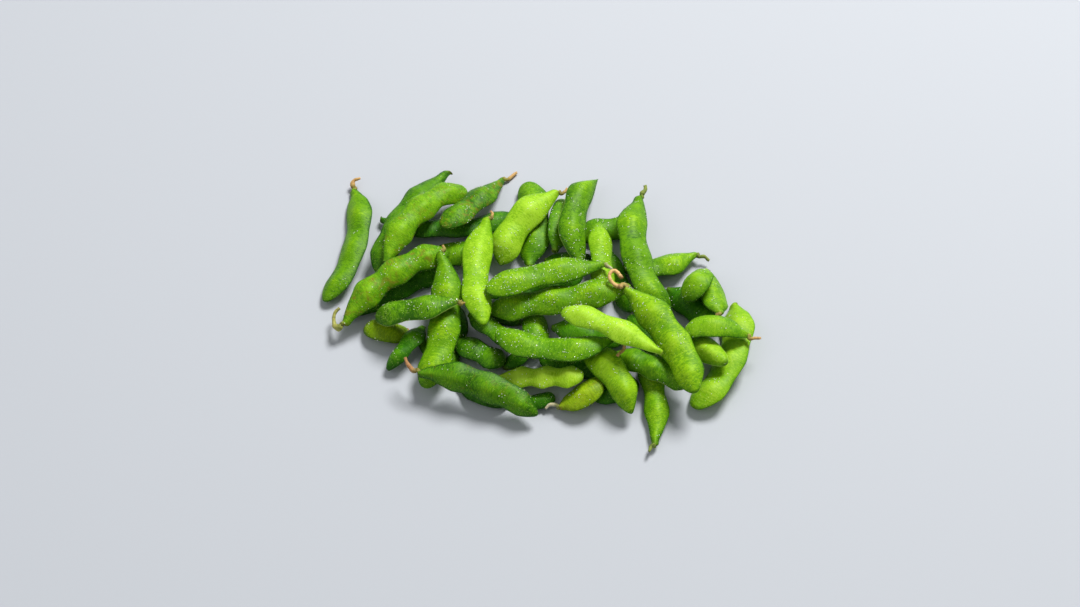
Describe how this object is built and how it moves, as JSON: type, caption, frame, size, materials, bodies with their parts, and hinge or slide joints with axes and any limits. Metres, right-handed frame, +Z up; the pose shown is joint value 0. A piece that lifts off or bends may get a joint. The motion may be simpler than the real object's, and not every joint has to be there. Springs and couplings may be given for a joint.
{
  "type": "edamame pod bundle",
  "caption": "Loose heap of whole green soybean pods lying crossed over one another, each pod curved, swollen over its beans and pointed, some with a short dried stalk.",
  "frame": {"origin": "middle of the heap's footprint, on the surface that the heap lies on", "axes": "+X along the heap's long side, to the right of someone in front of it; +Y to the back; +Z up"},
  "size_m": [0.2012, 0.1542, 0.0298],
  "materials": {
    "pod_light": "satin, finely downy light green pod skin",
    "pod_fresh": "satin, finely downy fresh green pod skin",
    "pod_mid": "satin, finely downy mid green pod skin",
    "pod_dark": "satin, finely downy dark green pod skin",
    "pod_olive": "satin, finely downy olive green pod skin",
    "stalk_tan": "dry, rough tan plant stalk",
    "stalk_green": "dry, rough green plant stalk",
    "stalk_pale": "dry, rough pale plant stalk"
  },
  "bodies": {
    "root": {"pod_01": "pod_fresh", "pod_02": "pod_dark", "pod_03": "pod_mid", "pod_04": "pod_light", "pod_05": "pod_olive", "pod_06": "pod_dark", "pod_07": "pod_dark", "pod_08": "pod_light", "pod_09": "pod_fresh", "pod_10": "pod_light", "pod_11": "pod_mid", "pod_12": "pod_fresh", "pod_13": "pod_fresh", "pod_14": "pod_fresh", "pod_15": "pod_mid", "pod_16": "pod_light", "pod_17": "pod_mid", "pod_18": "pod_fresh", "pod_19": "pod_fresh", "pod_20": "pod_mid", "pod_21": "pod_mid", "pod_22": "pod_fresh", "pod_23": "pod_fresh", "pod_24": "pod_light", "pod_25": "pod_mid", "pod_26": "pod_mid", "pod_27": "pod_fresh", "pod_28": "pod_olive", "pod_29": "pod_fresh", "pod_30": "pod_olive", "pod_31": "pod_mid", "pod_32": "pod_mid", "pod_33": "pod_mid", "pod_34": "pod_mid", "pod_35": "pod_fresh", "pod_36": "pod_mid", "pod_37": "pod_dark", "pod_38": "pod_olive", "pod_39": "pod_mid", "pod_40": "pod_dark", "pod_41": "pod_olive", "pod_42": "pod_dark", "pod_43": "pod_mid", "pod_44": "pod_mid", "pod_45": "pod_dark", "pod_46": "pod_dark", "pod_47": "pod_dark", "pod_48": "pod_dark", "pod_49": "pod_dark", "pod_50": "pod_dark", "pod_51": "pod_dark", "pod_52": "pod_dark", "pod_53": "pod_dark", "pod_54": "pod_dark", "stalk_01": "stalk_tan", "stalk_18": "stalk_green", "stalk_20": "stalk_tan", "stalk_22": "stalk_tan", "stalk_25": "stalk_tan", "stalk_38": "stalk_tan"}
  },
  "joints": []
}
